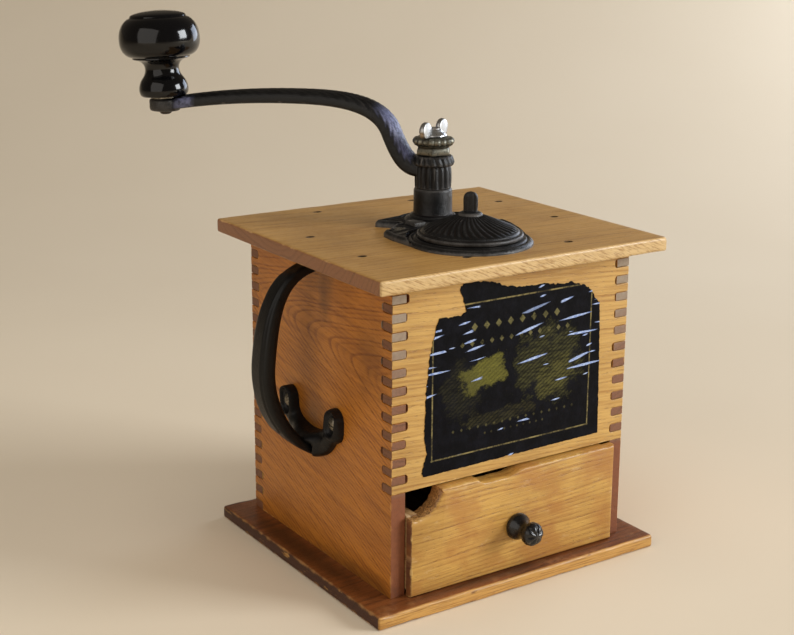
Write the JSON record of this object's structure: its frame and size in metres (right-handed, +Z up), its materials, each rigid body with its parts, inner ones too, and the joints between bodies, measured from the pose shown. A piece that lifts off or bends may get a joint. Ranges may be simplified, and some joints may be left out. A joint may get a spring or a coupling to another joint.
{
  "type": "coffee grinder mill",
  "caption": "Box coffee mill: finger-jointed wooden case with a drawer, iron hopper top with a lid, carry handle, and a knobbed crank that turns a cone burr under a crown nut.",
  "frame": {"origin": "centre of the case's footprint, on the underside of the base board, where it stands on a table", "axes": "+Z up along the spindle, -Y to the front with the label and the drawer, -X to the side with the carry handle"},
  "size_m": [0.2151, 0.2433, 0.2896],
  "materials": {
    "case_wood": "oiled open-grain oak, worn along the edges",
    "top_wood": "pale worn oak with a thin old finish",
    "base_wood": "darkened oak, worn to pale wood on its edges",
    "drawer_wood": "oiled oak front, worn at its corners",
    "drawer_inner_wood": "bare softwood, dusty",
    "label_sheet": "torn black glazed sheet with faded gilt lines",
    "black_iron": "japanned black casting, rubbed to bare metal on its high points",
    "grey_iron": "bare cast iron, dry",
    "crown_iron": "worn plated casting",
    "bright_metal": "worn nickel plate",
    "spindle_steel": "turned steel",
    "fastener_steel": "aged steel",
    "nail_iron": "dark rusted iron, set below the surface",
    "knob_wood": "turned wood under glossy black lacquer"
  },
  "bodies": {
    "case": {"base_board": "base_wood", "left_side": "case_wood", "right_side": "case_wood", "front_panel": "case_wood", "back_panel": "case_wood", "top_board": "top_wood", "top_nails": "nail_iron", "base_nails": "nail_iron", "label": "label_sheet", "hopper_top": "black_iron", "plate_screws": "fastener_steel", "hopper": "grey_iron", "outer_burr": "grey_iron", "burr_screws": "fastener_steel", "carry_handle": "black_iron", "handle_screws": "fastener_steel"},
    "lid": {"lid": "black_iron"},
    "crank": {"crank": "black_iron", "knob_rivet": "nail_iron", "knob_washer": "fastener_steel"},
    "knob": {"crank_knob": "knob_wood"},
    "crown_nut": {"adjusting_nut": "crown_iron"},
    "spindle": {"spindle": "spindle_steel", "inner_burr": "grey_iron", "burr_nut": "fastener_steel"},
    "wing_nut": {"wing_nut": "bright_metal"},
    "drawer": {"drawer_front": "drawer_wood", "drawer_left": "drawer_inner_wood", "drawer_right": "drawer_inner_wood", "drawer_back": "drawer_inner_wood", "drawer_bottom": "drawer_inner_wood", "drawer_nails": "nail_iron", "drawer_knob": "black_iron", "drawer_knob_screw": "fastener_steel"}
  },
  "joints": [
    {"name": "crank_turn", "type": "hinge", "parent": "case", "child": "crank", "pos_m": [0, 0.004, 0.205], "axis": [0, 0, 1], "continuous": true},
    {"name": "knob_spin", "type": "hinge", "parent": "crank", "child": "knob", "pos_m": [-0.10092, 0.12427, 0.2402], "axis": [-0.0392, 0.0468, 0.9981], "continuous": true},
    {"name": "adjusting_nut_turn", "type": "hinge", "parent": "crank", "child": "crown_nut", "pos_m": [0, 0.004, 0.222], "axis": [0, 0, 1], "range_deg": [-360, 0]},
    {"name": "grind_adjust", "type": "slide", "parent": "crank", "child": "spindle", "axis": [0, 0, 1], "range_m": [0, 0.0013]},
    {"name": "wing_nut_turn", "type": "hinge", "parent": "spindle", "child": "wing_nut", "pos_m": [0, 0.004, 0.229], "axis": [0, 0, 1], "range_deg": [0, 180]},
    {"name": "lid_lift", "type": "slide", "parent": "case", "child": "lid", "axis": [0, 0, 1], "range_m": [0, 0.018]},
    {"name": "drawer_slide", "type": "slide", "parent": "case", "child": "drawer", "axis": [0, -1, 0], "range_m": [-0.005, 0.115]}
  ],
  "couplings": [
    {"joint": "adjusting_nut_turn", "follows": "grind_adjust", "rad_per_m": -4833.2}
  ]
}
